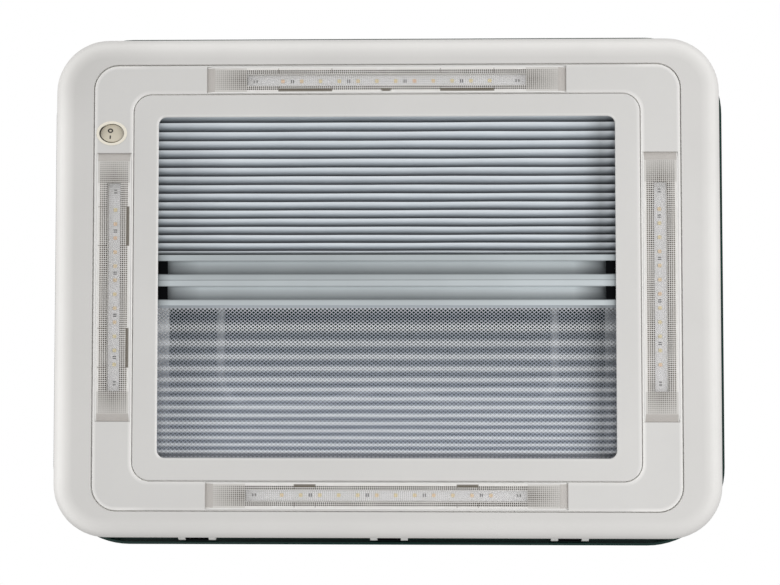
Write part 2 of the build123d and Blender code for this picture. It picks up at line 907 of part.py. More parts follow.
def hinge_section(radius, low_y, high_y, level):
    """Lug outline: a round eye drawn into a foot."""
    eye = Pos(hinge_y, hinge_z) * Circle(radius)
    foot = Pos((low_y + high_y) / 2, level) * Rectangle(high_y - low_y, 0.4)
    return make_hull(eye.edges() + foot.edges())


def hinge_brackets():
    """White brackets on the flange, each with two lugs round a knuckle."""
    foot_high = flange_width / 2
    foot_low = foot_high - hinge_foot_depth
    foot_top = flange_top + hinge_foot_thickness
    lug_face = hinge_section(lug_radius, foot_low + lug_set_back, foot_high, foot_top - 0.2)
    lug = extrude(Plane.YZ * lug_face, amount=lug_width / 2, both=True)
    inner = knuckle_length / 2 + seat_gap
    outer = inner + lug_width
    solids = []
    for x in hinge_places:
        body = block((x - outer, x + outer), (foot_low, foot_high), (flange_top, foot_top))
        for side in (-1, 1):
            body += Pos(x + side * (inner + lug_width / 2), 0, 0) * lug
        body -= cross_rod((x - outer - 1, x + outer + 1), hinge_y, hinge_z, hinge_pin_radius)
        solids.append(body)
    return solids


def hinge_knuckles():
    """Black knuckles under the dome's rear rim."""
    half = knuckle_length / 2
    face = hinge_section(knuckle_radius, hinge_y - knuckle_radius, hinge_y + knuckle_radius, rim_level - 0.2)
    solids = []
    for x in hinge_places:
        body = Pos(x, 0, 0) * extrude(Plane.YZ * face, amount=half, both=True)
        body -= cross_rod((x - half - 1, x + half + 1), hinge_y, hinge_z, hinge_pin_radius + pin_clearance)
        solids.append(body)
    return solids


def hinge_pins():
    """Pins fixed in the lugs, on which the knuckles turn."""
    reach = knuckle_length / 2 + seat_gap + lug_width
    return [cross_rod((x - reach, x + reach), hinge_y, hinge_z, hinge_pin_radius) for x in hinge_places]


def bow():
    """Bent rod with a wavy grip and an eye at the end of each arm."""
    tip = bow_pivot_y + bow_reach
    points = [
        (bow_half_width, bow_pivot_y + bow_barrel_radius - 1),
        (bow_half_width, tip),
        (bow_hump_place, tip),
        (0, tip - bow_hump),
    ]
    points += [(-x, y) for x, y in reversed(points[:-1])]
    radii = [bow_corner, bow_wave, bow_wave, bow_wave, bow_corner]
    path = Pos(0, 0, bow_pivot_z) * FilletPolyline(*points, radius=radii)
    start = Plane(origin=path @ 0, z_dir=path % 0)
    body = sweep(start * Circle(bow_rod), path=path)
    half = bow_barrel_length / 2
    bore = bow_pin_radius + pin_clearance
    for x in (-bow_half_width, bow_half_width):
        body += cross_rod((x - half, x + half), bow_pivot_y, bow_pivot_z, bow_barrel_radius)
        body -= cross_rod((x - half - 1, x + half + 1), bow_pivot_y, bow_pivot_z, bore)
    return body


def bow_brackets():
    """Forks on the front of the collar that hold the bow's eyes."""
    inner = bow_barrel_length / 2 + seat_gap
    outer = inner + bow_cheek
    plate_back = front_wall + fork_plate
    x = bow_half_width
    heights = (bow_pivot_z - fork_low, bow_pivot_z + fork_high)
    body = block((x - outer, x + outer), (front_wall, plate_back), heights)
    cheek_heights = (bow_pivot_z - cheek_half_height, bow_pivot_z + cheek_half_height)
    for side in (-1, 1):
        span = sorted((x + side * inner, x + side * outer))
        body += cross_rod(span, bow_pivot_y, bow_pivot_z, cheek_half_height)
        body += block(span, (plate_back - 1, bow_pivot_y), cheek_heights)
    body -= cross_rod((x - outer - 1, x + outer + 1), bow_pivot_y, bow_pivot_z, bow_pin_radius)
    return both_sides(body)


def bow_pins():
    """Pins of the bow, fixed in the forks."""
    reach = bow_barrel_length / 2 + seat_gap + bow_cheek
    span = (bow_half_width - reach, bow_half_width + reach)
    return both_sides(cross_rod(span, bow_pivot_y, bow_pivot_z, bow_pin_radius))


def grip_in_dome(opening):
    """Where the bow's grip lies in the dome's own frame when the dome stands open, in Y and Z."""
    swing = math.radians(opening * bow_swing / dome_opening)
    turn = math.radians(opening)
    y = bow_pivot_y + bow_reach * math.cos(swing) - hinge_y
    z = bow_pivot_z + bow_reach * math.sin(swing) - hinge_z
    turned_y = y * math.cos(turn) - z * math.sin(turn)
    turned_z = y * math.sin(turn) + z * math.cos(turn)
    return hinge_y + turned_y, hinge_z + turned_z


def bow_catches(inner_skin):
    """Hooks under the inner skin that the grip stands in when the dome is fully open."""
    grip_y, grip_z = grip_in_dome(dome_opening)
    roof = grip_z + bow_rod + seat_gap
    stop = grip_y - bow_rod - seat_gap
    above = rim_level + inner_crown_rise + skin + 2
    profile = Polyline(
        (stop - catch_wall, above),
        (stop - catch_wall, grip_z - bow_rod),
        (stop, grip_z - bow_rod),
        (stop, roof),
        (grip_y + catch_hollow, roof),
        (grip_y + catch_slope, roof + 2 * catch_width),
        (grip_y + catch_slope, above),
        close=True,
    )
    body = extrude(Plane.YZ * make_face(profile), amount=catch_width / 2, both=True)
    body = Pos(catch_place, 0, 0) * body - inner_skin
    return both_sides(body.solids().sort_by(Axis.Z)[0])


def latch_bases():
    """Round sockets under the inner rim for the latches' spindles."""
    bottom = rim_bottom - latch_base_height
    body = rod(latch_x, latch_y, bottom, rim_bottom, latch_base_radius)
    body = fillet(low_edges(body, bottom), 1.0)
    body -= rod(latch_x, latch_y, bottom - 1, rim_bottom - latch_wall, latch_spindle + pin_clearance)
    return both_sides(body)


def latch_handle():
    """Turn handle of the right latch, with its tongue aside so that the dome is free to open."""
    top = rim_bottom - latch_base_height - seat_gap
    bottom = top - latch_hub_height
    grip_bottom = bottom - grip_drop
    half = tongue_width / 2
    grip_half = grip_thickness / 2
    body = rod(latch_x, latch_y, bottom, top, latch_hub_radius)
    body = fillet(low_edges(body, bottom), 1.5)
    body += rod(latch_x, latch_y, top, top + latch_base_height - latch_wall - fit_gap, latch_spindle)
    tongue_heights = (tongue_top - tongue_thickness, tongue_top)
    body += block((latch_x - tongue_length, latch_x), (latch_y - half, latch_y + half), tongue_heights)
    grip = block(
        (latch_x - grip_length / 2, latch_x + grip_length),
        (latch_y - grip_half, latch_y + grip_half),
        (grip_bottom, bottom + 1),
    )
    return body + fillet(low_edges(grip, grip_bottom), grip_half * 0.8)


def latch_keepers():
    """Ledges inside the collar that the tongues turn under."""
    bottom = tongue_top + keeper_gap
    half = keeper_length / 2
    reach = (front_wall, front_wall + keeper_reach)
    return both_sides(block((latch_x - half, latch_x + half), reach, (bottom, bottom + keeper_thickness)))


save("outer_trim", outer_trim())
save("light_band", light_band())
save("inner_trim", inner_trim())
save("trim_screws", trim_screws())
for unit in light_units:
    save(f"light_tray_{unit}", light_tray(unit))
    save(f"led_strip_{unit}", led_strip(unit))
    save(f"light_cover_{unit}", light_cover(unit))
save("switch_housing", switch_housing())
save("switch_rocker", switch_rocker())
save("switch_terminals", [blade(side, 0) for side in (-1, 1)])

rail = along_y(rail_section(), window_width / 2 + rail_end)
save("blind_rail_right", rail)
save("blind_rail_left", mirror(rail, Plane.YZ))
cassette = along_x(cassette_section(), rail_inner - seat_gap)
save("blind_cassette_rear", cassette)
save("blind_cassette_front", mirror(cassette, Plane.XZ))
save("blackout_bar", along_x(bar_section(blackout_bar_low), fabric_half_length))
save("blackout_end_plugs", end_plugs(blackout_bar_low))
save("blackout_fabric", pleated_cloth(-fabric_end, blackout_pitches(), blackout_valley_share))
save("flyscreen_bar", along_x(bar_section(flyscreen_bar_high - bar_width), fabric_half_length))
save("flyscreen_end_plugs", end_plugs(flyscreen_bar_high - bar_width))
save("flyscreen_mesh", pleated_cloth(flyscreen_bar_high, mesh_pitches(), mesh_valley_share))

save("roof_frame", roof_frame())
save("roof_gasket", roof_gasket())
save("clamp_frame", clamp_frame())
save("clamp_screws", clamp_screws())
save("hinge_brackets", hinge_brackets())
save("hinge_pins", hinge_pins())
save("hinge_knuckles", hinge_knuckles())
save("dome_outer", dome_outer())
inner_skin = dome_inner()
save("dome_inner", inner_skin)
save("dome_seal", dome_seal())
save("bow", bow())
save("bow_brackets", bow_brackets())
save("bow_pins", bow_pins())
save("bow_catches", bow_catches(inner_skin))
save("latch_bases", latch_bases())
handle = latch_handle()
save("latch_handle_right", handle)
save("latch_handle_left", mirror(handle, Plane.YZ))
save("latch_keepers", latch_keepers())

print("rocker pivot", round(switch_x, 3), round(switch_y, 3), round(rocker_pivot_z, 3))
print("cloth ends", round(fabric_end, 3), "grip in the dome's frame, by opening:")
for opening in range(0, dome_opening + 1, 5):
    print(opening, [round(v, 1) for v in grip_in_dome(opening)])
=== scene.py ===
"""Caravan roof hatch seen from the room: materials, pleated cloths, light details and the studio.

Metres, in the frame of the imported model. +Z points out through the roof and +Y is the hinge side."""

import math
import random

import bpy
from mathutils import Matrix, Vector
from mathutils.bvhtree import BVHTree


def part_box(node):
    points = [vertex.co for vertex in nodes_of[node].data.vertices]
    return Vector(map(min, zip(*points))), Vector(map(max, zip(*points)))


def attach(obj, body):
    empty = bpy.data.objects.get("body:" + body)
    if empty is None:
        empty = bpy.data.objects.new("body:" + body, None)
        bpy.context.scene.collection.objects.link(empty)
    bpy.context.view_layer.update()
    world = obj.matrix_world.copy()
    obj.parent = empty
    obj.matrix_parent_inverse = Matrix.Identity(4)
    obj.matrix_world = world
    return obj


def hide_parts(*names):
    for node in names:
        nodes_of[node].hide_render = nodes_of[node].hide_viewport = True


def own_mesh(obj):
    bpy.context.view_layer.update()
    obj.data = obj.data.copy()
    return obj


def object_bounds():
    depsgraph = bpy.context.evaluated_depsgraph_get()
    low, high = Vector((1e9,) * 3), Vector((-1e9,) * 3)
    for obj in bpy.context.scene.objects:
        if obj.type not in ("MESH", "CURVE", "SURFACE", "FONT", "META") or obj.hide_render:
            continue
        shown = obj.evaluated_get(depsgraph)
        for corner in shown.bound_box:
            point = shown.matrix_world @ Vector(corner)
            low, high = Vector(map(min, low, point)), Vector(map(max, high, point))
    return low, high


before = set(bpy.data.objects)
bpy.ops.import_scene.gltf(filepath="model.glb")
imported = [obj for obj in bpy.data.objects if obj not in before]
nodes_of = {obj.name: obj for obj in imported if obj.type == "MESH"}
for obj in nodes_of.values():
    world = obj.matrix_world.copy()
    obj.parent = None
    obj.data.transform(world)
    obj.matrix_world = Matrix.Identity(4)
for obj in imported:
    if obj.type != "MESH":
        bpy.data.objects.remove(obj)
cad_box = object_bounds()
MM = 0.001

# Camera of the photograph, turned by these degrees from looking straight up
camera_place = Vector((0.0355, 0.0645, -1.5455))
camera_lens = 60
sensor_width = 36
camera_turns = (-2.129, 1.141, -0.038)
camera_nearest = 0.05

# World light: even part, soft parts from the four sides as axis, sign and strength, and loss overhead
world_base = 0.172
world_sides = ((0, -1.0, 1.57), (0, 1.0, 1.16), (1, -1.0, 0.79), (1, 1.0, 0.16))
world_top_loss = 0.3
world_top_edge = 0.2
world_top_width = 0.3

# Lamps: place, size and power
lamps = {
    "room_key": ((1.5, 0.5, -1.7), 1.4, 12),
    "sky_key": ((1.3, -1.2, 2.0), 1.2, 34),
    "sky_fill": ((-1.8, -0.6, 1.4), 1.6, 16),
}

# Floor: half of its side, and its distance below the hatch
floor_reach = 12.0
floor_gap = 0.2 * MM

# Depth of the fine relief in the materials
grain_depth = 0.03 * MM
scratch_depth = 0.04 * MM
pore_depth = 0.08 * MM
weave_depth = 0.08 * MM
mottle_depth = 0.1 * MM
prism_depth = 0.25 * MM

# Light units: turn of each unit's own frame, whose +Y points to the window
unit_turns = {"front": 0, "rear": 180, "left": -90, "right": 90}

# Circuit boards: pitch of the chips as a share of the board, small parts between them, and end pads
chip_pitch_share = 0.0677
chip_radius = 2.5 * MM
chip_edge = 1.2 * MM
chip_rise = 0.6 * MM
chip_rise_edge = 0.1 * MM
resistor_groups = (-5, -2, 1, 4)
resistor_near = 0.5 * MM
resistor_far = 1.9 * MM
resistor_half_width = 2.1 * MM
pad_inset = 9.5 * MM
pad_near = 0.6 * MM
pad_far = 2.6 * MM
pad_half_width = 1.8 * MM
pad_edge = 0.5 * MM
part_edge = 0.4 * MM

# Light covers: prisms, plain ends and sides, a painted highlight along the rims, painted shade in the rows
# beside the board, and the slots and clips seen along them, with painted shade in the slots and painted
# glints on the clips
prism_pitch = 2.43 * MM
dot_half_share = 0.37
dot_edge_share = 0.1
ramp_length = 9.5 * MM
strip_width = 3.6 * MM
rim_highlight_width = 1.4 * MM
dark_row_breadth = 5 * MM
cover_edge = 0.8 * MM
cover_side_edge = 0.6 * MM
slot_inset = 1.9 * MM
slot_breadth = 3.6 * MM
tick_start = 10 * MM
tick_half_width = 0.5 * MM
tick_edge = 0.5 * MM
tick_board_gap = MM
tick_rim_gap = 2 * MM
mark_end_edge = 1.6 * MM
mark_side_edge = 0.7 * MM
clip_half_length = 3.2 * MM
clip_side = (3.4 * MM, 2.3 * MM)
cover_slots = {
    "front": ((65 * MM, 129 * MM), (-1 * MM, 6.5 * MM)),
    "rear": ((84 * MM, 109 * MM),),
    "left": ((49.5 * MM, 96 * MM),),
}
cover_clips = {
    "front": (8 * MM, 160 * MM),
    "rear": (66 * MM, 132 * MM),
    "left": (104 * MM, 118 * MM),
    "right": (12 * MM, 48 * MM, 99 * MM),
}

# Outer trim: corner of its outline, breadth of the rolled rim as light shows it, which its painted highlight
# covers, its darker border of painted shade, and the depth past which its gap is painted lighter
trim_corner = 64 * MM
rim_breadth = 26 * MM
rim_border = 5.5 * MM
rim_border_width = 7 * MM
trim_gap_depth = 2 * MM

# Light band and window frame: corners of their outlines, breadths, breadth of the painted highlights on their
# rounded edges, and where painted light starts in their gaps
band_corner = 29 * MM
inner_corner = 21 * MM
window_corner = 9.5 * MM
side_frame_breadth = 29.2 * MM
long_frame_breadth = 26.5 * MM
edge_highlight_breadth = 5 * MM
lip_highlight_breadth = 3.2 * MM
lip_side_edge = 4 * MM
right_highlight_inset = 6 * MM
right_highlight_width = 4 * MM
band_gap = 1.2 * MM
band_gap_depth = 1.2 * MM
band_side_inset = 10 * MM
band_side_width = 20 * MM
inner_gap_depth = 1.5 * MM
inner_gap_start = 6 * MM
band_colour = (0.705, 0.695, 0.677)

# Shade along the cloths, from the left rail to the right one
side_shades = (
    (0.0, 0.84),
    (0.03, 0.84),
    (0.06, 0.82),
    (0.08, 0.87),
    (0.16, 1.0),
    (0.88, 1.0),
    (0.93, 0.88),
    (0.965, 0.55),
    (1.0, 0.72),
)

# Shade across a pull bar, from the lip on the front side to the lip on the hinge side
bar_shades = (
    (0.0, 0.79),
    (0.19, 0.79),
    (0.235, 0.62),
    (0.27, 1.0),
    (0.32, 0.99),
    (0.40, 0.80),
    (0.48, 0.66),
    (0.56, 0.52),
    (0.64, 0.40),
    (0.72, 0.33),
    (0.775, 0.32),
    (0.80, 0.66),
    (0.84, 0.76),
    (0.96, 0.79),
)

# Pull bars: channel as shares of their width, plugs in their ends, and how far the ends are in shade
channel_start = 0.25
channel_end = 0.79
channel_edge = 0.02
plug_length = 12 * MM
plug_shade_length = 40 * MM
bar_end_inset = 7 * MM
bar_end_width = 16 * MM

# Switch: the rocker's pins reach past its oval by this much on each side, with a gap round the oval, and
# painted shade on the bezel fills that oval
rocker_pin_reach = 1.8 * MM
rocker_gap_x = 0.62 * MM
rocker_gap_y = 0.15 * MM
oval_share = 1.02
oval_edge_share = 0.02

# Marks on the rocker, measured from its middle
ring_offset = 3.7 * MM
bar_offset = 4.3 * MM
marks_offset = 2.2 * MM
ring_outside = (3.3 * MM, 2.7 * MM)
ring_inside = (1.6 * MM, 1.2 * MM)
ring_segments = 28
bar_half = (0.8 * MM, 2.1 * MM)
mark_rise = 0.08 * MM
mark_ray_start = -50 * MM

# Pleats: widths in proportion, share of each that slopes to the valley, bulge of the slopes, and the
# width from which a pleat reaches its full depth
blackout_shares = [4.0, *(11.2 - 0.11 * k for k in range(16)), 4.5]
blackout_folds = (0.88, 1.45, MM)
blackout_sway = 0.35 * MM
mesh_shares = [27.8, *(7.4 + 10.8 * 0.8**k for k in range(15))]
mesh_folds = (0.5, 1.15, 14 * MM)
mesh_sway = 0.3 * MM
pleat_clearance = 0.7 * MM
thread_pitch_x = 5.06 * MM
thread_pitch_y = 4.2 * MM
thread_offset_share = 0.365
thread_edge_share = 0.1
hem_share = 0.018
hem_edge_share = 0.006
net_shade_breadth = 4 * MM


class Graph:
    """Nodes of a material or of the world, with short calls for those that are used here."""

    def __init__(self, owner):
        owner.use_nodes = True
        self.owner = owner
        self.tree = owner.node_tree
        self.shader = self.tree.nodes.get("Principled BSDF")
        self.output = self.tree.nodes.get("Material Output")
        coordinates = self.node("ShaderNodeTexCoord")
        self.place = coordinates.outputs["Object"]
        self.uv = coordinates.outputs["UV"]
        self.direction = coordinates.outputs["Generated"]

    def node(self, kind, **settings):
        made = self.tree.nodes.new(kind)
        for key, value in settings.items():
            setattr(made, key, value)
        return made

    def feed(self, value, socket):
        if isinstance(value, bpy.types.NodeSocket):
            self.tree.links.new(value, socket)
        else:
            socket.default_value = value

    def set(self, **values):
        """Sets sockets of the main shader by their names."""
        for key, value in values.items():
            name = key.replace("_", " ").title().replace("Ior", "IOR")
            self.feed(value, self.shader.inputs[name])

    def colour(self):
        """The colour that the main shader takes so far."""
        return self.shader.inputs["Base Color"].links[0].from_socket

    def math(self, operation, first, second=0.0, third=0.0, clamp=False):
        made = self.node("ShaderNodeMath", operation=operation, use_clamp=clamp)
        for value, socket in zip((first, second, third), made.inputs):
            self.feed(value, socket)
        return made.outputs[0]

    def times(self, first, *others):
        """Product of all the values."""
        for value in others:
            first = self.math("MULTIPLY", first, value)
        return first

    def line(self, value, slope, start):
        """Value times slope plus start."""
        return self.math("MULTIPLY_ADD", value, slope, start)

    def inverse(self, share):
        """1 where the share is 0, and 0 where it is 1."""
        return self.math("SUBTRACT", 1.0, share)

    def distance(self, value, place=0.0):
        """Distance of a value from a place, without sign."""
        return self.math("ABSOLUTE", self.math("SUBTRACT", value, place))

    def length(self, x, y):
        """Length of a flat vector."""
        return self.math("SQRT", self.math("ADD", self.times(x, x), self.times(y, y)))

    def rise(self, value, start, end):
        """0 up to the start and 1 from the end on. The end may lie before the start."""
        return self.math("DIVIDE", self.math("SUBTRACT", value, start), end - start, clamp=True)

    def step_up(self, value, edge, width):
        """Rises from 0 to 1 across an edge of the given width."""
        return self.rise(value, edge - width / 2, edge + width / 2)

    def within(self, value, edge, width):
        """Falls from 1 to 0 across an edge of the given width."""
        return self.rise(value, edge + width / 2, edge - width / 2)

    def span(self, value, low, high, soft):
        """1 between two places, 0 outside, with soft edges."""
        return self.times(self.step_up(value, low, soft), self.within(value, high, soft))

    def scaled(self, scale):
        """Object coordinates stretched by a factor on each axis."""
        made = self.node("ShaderNodeMapping")
        self.feed(self.place, made.inputs["Vector"])
        made.inputs["Scale"].default_value = scale
        return made.outputs[0]

    def noise(self, scale, detail=3.0, roughness=0.5, where=None):
        made = self.node("ShaderNodeTexNoise")
        self.feed(where or self.place, made.inputs["Vector"])
        made.inputs["Scale"].default_value = scale
        made.inputs["Detail"].default_value = detail
        made.inputs["Roughness"].default_value = roughness
        return made.outputs["Fac"]

    def axes(self, where=None):
        made = self.node("ShaderNodeSeparateXYZ")
        self.feed(where or self.place, made.inputs[0])
        return made.outputs

    def ramp(self, value, *stops):
        """Colour ramp through (place, colour) stops; a plain number is a grey."""
        made = self.node("ShaderNodeValToRGB")
        elements = made.color_ramp.elements
        while len(elements) < len(stops):
            elements.new(0.5)
        for element, (position, colour) in zip(elements, stops):
            element.position = position
            rgb = colour if isinstance(colour, tuple) else (colour,) * 3
            element.color = (*rgb, 1)
        self.feed(value, made.inputs["Fac"])
        return made.outputs["Color"]

    def blend(self, share, first, second, kind="MIX"):
        made = self.node("ShaderNodeMix", data_type="RGBA", blend_type=kind)
        self.feed(share, made.inputs["Factor"])
        for value, socket in ((first, made.inputs[6]), (second, made.inputs[7])):
            self.feed((*value, 1) if isinstance(value, tuple) else value, socket)
        return made.outputs[2]

    def bump(self, height, distance, strength=1.0):
        made = self.node("ShaderNodeBump")
        made.inputs["Strength"].default_value = strength
        made.inputs["Distance"].default_value = distance
        self.feed(height, made.inputs["Height"])
        return made.outputs[0]

    def paint_light(self, lift):
        """Paints light onto the colour by a share that changes over the surface, and paints shade where the
        share is below 0.
        """
        factor = self.math("ADD", lift, 1.0)
        grey = self.node("ShaderNodeCombineXYZ")
        for socket in grey.inputs:
            self.feed(factor, socket)
        self.set(base_color=self.blend(1.0, self.colour(), grey.outputs[0], "MULTIPLY"))

    def see_through(self, share):
        """Lets light and sight pass straight through by the share given."""
        clear = self.node("ShaderNodeBsdfTransparent")
        mixed = self.node("ShaderNodeMixShader")
        self.feed(share, mixed.inputs[0])
        self.feed(self.shader.outputs[0], mixed.inputs[1])
        self.feed(clear.outputs[0], mixed.inputs[2])
        self.feed(mixed.outputs[0], self.output.inputs["Surface"])


def fresh(name):
    """Graph of a new material."""
    return Graph(bpy.data.materials.new(name))


def tinted(colour, factor):
    return tuple(channel * factor for channel in colour)


def moulded(name, colour, roughness, shift=0.03, dust=0.0):
    """Moulded plastic: slow colour drift, fine spark grain, rubbed and dusty patches."""
    g = fresh(name)
    drift = g.noise(4.0, 4.0)
    body = g.ramp(drift, (0.3, tinted(colour, 1 - shift)), (0.7, tinted(colour, 1 + shift)))
    patches = g.ramp(g.noise(34.0, 6.0, 0.65), (0.45, 0.0), (0.8, 1.0))
    body = g.blend(g.times(patches, 0.12 + dust), body, tinted(colour, 0.82))
    scuffs = g.ramp(g.noise(60.0, 3.0, 0.6, g.scaled((1.0, 7.0, 3.0))), (0.62, 0.0), (0.7, 1.0))
    rough = g.line(scuffs, 0.08, g.line(patches, 0.12, roughness))
    g.set(base_color=body, roughness=rough, normal=g.bump(g.noise(1400.0, 2.0), grain_depth))
    return g.owner


def metal(name, colour, roughness, brushed=(2.0, 500.0, 500.0), metallic=1.0):
    """Brushed metal with long fine scratches along one axis and a slow tarnish."""
    g = fresh(name)
    lines = g.noise(1.0, 4.0, 0.6, g.scaled(brushed))
    drift = g.noise(9.0, 4.0)
    body = g.ramp(drift, (0.3, tinted(colour, 0.93)), (0.7, tinted(colour, 1.04)))
    body = g.blend(g.ramp(lines, (0.4, 0.0), (0.75, 0.22)), body, tinted(colour, 0.8))
    rough = g.line(lines, 0.16, roughness - 0.05)
    g.set(base_color=body, roughness=rough, normal=g.bump(lines, scratch_depth), metallic=metallic)
    return g.owner


def rubber(name, colour):
    """Extruded rubber: matt, slightly bloomed, with fine pores."""
    g = fresh(name)
    bloom = g.ramp(g.noise(25.0, 5.0, 0.6), (0.45, 0.0), (0.75, 1.0))
    body = g.blend(g.times(bloom, 0.25), colour, tinted(colour, 2.0))
    pores = g.noise(900.0, 2.0)
    rough = g.line(bloom, 0.12, 0.75)
    g.set(base_color=body, roughness=rough, normal=g.bump(pores, pore_depth))
    return g.owner


def depth_inside(g, half_x, half_y, corner):
    """Distance inwards from the outline of a rounded rectangle about the middle of the hatch."""
    x, y, _ = g.axes()
    beyond_x = g.math("SUBTRACT", g.distance(x), half_x - corner)
    beyond_y = g.math("SUBTRACT", g.distance(y), half_y - corner)
    round_part = g.length(g.math("MAXIMUM", beyond_x, 0.0), g.math("MAXIMUM", beyond_y, 0.0))
    straight_part = g.math("MINIMUM", g.math("MAXIMUM", beyond_x, beyond_y), 0.0)
    return g.math("SUBTRACT", corner, g.math("ADD", round_part, straight_part))


def window_half():
    """Half length and half width of the window."""
    _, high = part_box("inner_trim")
    return high.x - side_frame_breadth, high.y - long_frame_breadth


def paint_gap_light(g, level, share):
    """Paints light onto the walls and floor of the shadow gaps, beyond a level."""
    beyond = g.times(g.step_up(g.axes()[2], level, MM), share)
    g.set(base_color=g.blend(beyond, g.colour(), (0.97, 0.96, 0.94)))


def outer_white():
    """White of the outer trim, with a painted highlight on its rolled rim, most of all on the left, painted
    shade at the rim's very edge and in one corner, and painted light in its gap.
    """
    g = Graph(moulded("trim_white", (0.70, 0.688, 0.669), 0.42))
    low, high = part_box("outer_trim")
    x, y, _ = g.axes()
    depth = depth_inside(g, high.x, high.y, trim_corner)
    # Painted highlight on the rolled rim, turning to painted shade at its very edge
    rim = g.rise(depth, rim_breadth, rim_breadth / 2)
    left = g.rise(x, -0.8 * high.x, -high.x)
    hinge_side = g.rise(y, 0.75 * high.y, 0.95 * high.y)
    strength = g.line(hinge_side, -0.1, g.line(left, 0.19, 0.18))
    painted_rim_border = g.line(g.step_up(depth, rim_border, rim_border_width), 1.15, -0.15)
    g.paint_light(g.times(rim, strength, painted_rim_border))
    # Painted shade in the front left corner
    corner = [g.rise(axis, -0.65 * half, -0.95 * half) for axis, half in ((x, high.x), (y, high.y))]
    g.set(base_color=g.blend(g.times(*corner, 0.35), g.colour(), (0.45, 0.44, 0.42)))
    paint_gap_light(g, low.z + trim_gap_depth, g.step_up(depth, rim_breadth, MM))
    return g.owner


def band_white():
    """White of the light band, with painted highlights on its rounded edges and painted light on the walls in
    the shadow gaps.
    """
    g = Graph(moulded("band_white", band_colour, 0.42))
    low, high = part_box("light_band")
    _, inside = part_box("inner_trim")
    # Painted highlights along both rounded edges, stronger at the sides
    edge_highlight_outer = g.rise(depth_inside(g, high.x, high.y, band_corner), edge_highlight_breadth, 0)
    inner_depth = depth_inside(g, inside.x + band_gap, inside.y + band_gap, inner_corner + band_gap)
    edge_highlight_inner = g.rise(inner_depth, -edge_highlight_breadth, 0)
    side_highlight = g.step_up(g.distance(g.axes()[0]), inside.x - band_side_inset, band_side_width)
    g.paint_light(g.times(g.math("MAXIMUM", edge_highlight_outer, edge_highlight_inner), g.line(side_highlight, 0.22, 0.13)))
    paint_gap_light(g, low.z + band_gap_depth, 1.0)
    return g.owner


def inner_white():
    """White of the window frame, with a painted highlight on the lip round the window, most of all left and
    in front, another on its right outer edge, and painted light in its gap.
    """
    g = Graph(moulded("inner_white", band_colour, 0.42))
    low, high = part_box("inner_trim")
    window_x, window_y = window_half()
    x, y, _ = g.axes()
    past = g.times(depth_inside(g, window_x, window_y, window_corner), -1.0)
    # Painted highlight on the lip round the window and on the right outer edge
    lip = g.rise(past, lip_highlight_breadth, 0)
    left = g.within(x, lip_side_edge - window_x, lip_side_edge)
    front = g.within(y, lip_side_edge - window_y, lip_side_edge)
    right = g.step_up(x, high.x - right_highlight_inset, right_highlight_width)
    edge_highlight_outer = g.rise(depth_inside(g, high.x, high.y, inner_corner), edge_highlight_breadth, 0)
    lip_highlight = g.times(lip, g.line(left, 0.24, g.line(front, 0.2, 0.05)))
    g.paint_light(g.line(g.times(edge_highlight_outer, right), 0.2, lip_highlight))
    paint_gap_light(g, low.z + inner_gap_depth, g.step_up(past, inner_gap_start, MM))
    return g.owner


def pull_bar(node, colour):
    """Brushed aluminium bar with painted shade across its channel, beside the plugs and at its ends, and
    painted light to the right.
    """
    g = Graph(metal("silver_" + node, colour, 0.42, metallic=0.35))
    low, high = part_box(node)
    x, y, _ = g.axes()
    from_middle = g.distance(x)
    across = g.math("DIVIDE", g.math("SUBTRACT", y, low.y), high.y - low.y)
    # Painted shade across the bar
    body = g.blend(1.0, g.colour(), g.ramp(across, *bar_shades), "MULTIPLY")
    # Painted shade in the channel beside the plugs, deeper on the right
    plug_start = high.x - plug_length
    near = g.rise(from_middle, plug_start - plug_shade_length, plug_start)
    near = g.times(near, g.line(g.step_up(x, 0.0, MM), 0.35, 0.62))
    channel = g.span(across, channel_start, channel_end, channel_edge)
    body = g.blend(g.times(near, channel), body, (0.03, 0.035, 0.04))
    # Painted shade at the bar's ends by the window's edge
    ends = g.step_up(from_middle, window_half()[0] - bar_end_inset, bar_end_width)
    body = g.blend(g.times(ends, 0.52), body, (0.2, 0.22, 0.23))
    g.set(base_color=body)
    # Painted light towards the right
    g.paint_light(g.times(g.rise(x, 0, high.x), 0.13))
    return g.owner


def switch_bezel():
    """Cream bezel of the switch, with painted shade inside its oval hole."""
    g = Graph(moulded("switch_cream", (0.91, 0.86, 0.74), 0.3, shift=0.02))
    middle = centre_of(*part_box("switch_housing"))
    low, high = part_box("switch_rocker")
    half = (high - low) / 2
    x, y, _ = g.axes()
    x = g.math("DIVIDE", g.math("SUBTRACT", x, middle.x), half.x - rocker_pin_reach + rocker_gap_x)
    y = g.math("DIVIDE", g.math("SUBTRACT", y, middle.y), half.y + rocker_gap_y)
    # Painted shade in the hole round the rocker
    inside = g.within(g.length(x, y), oval_share, oval_edge_share)
    g.set(base_color=g.blend(inside, g.colour(), (0.05, 0.045, 0.04)))
    return g.owner


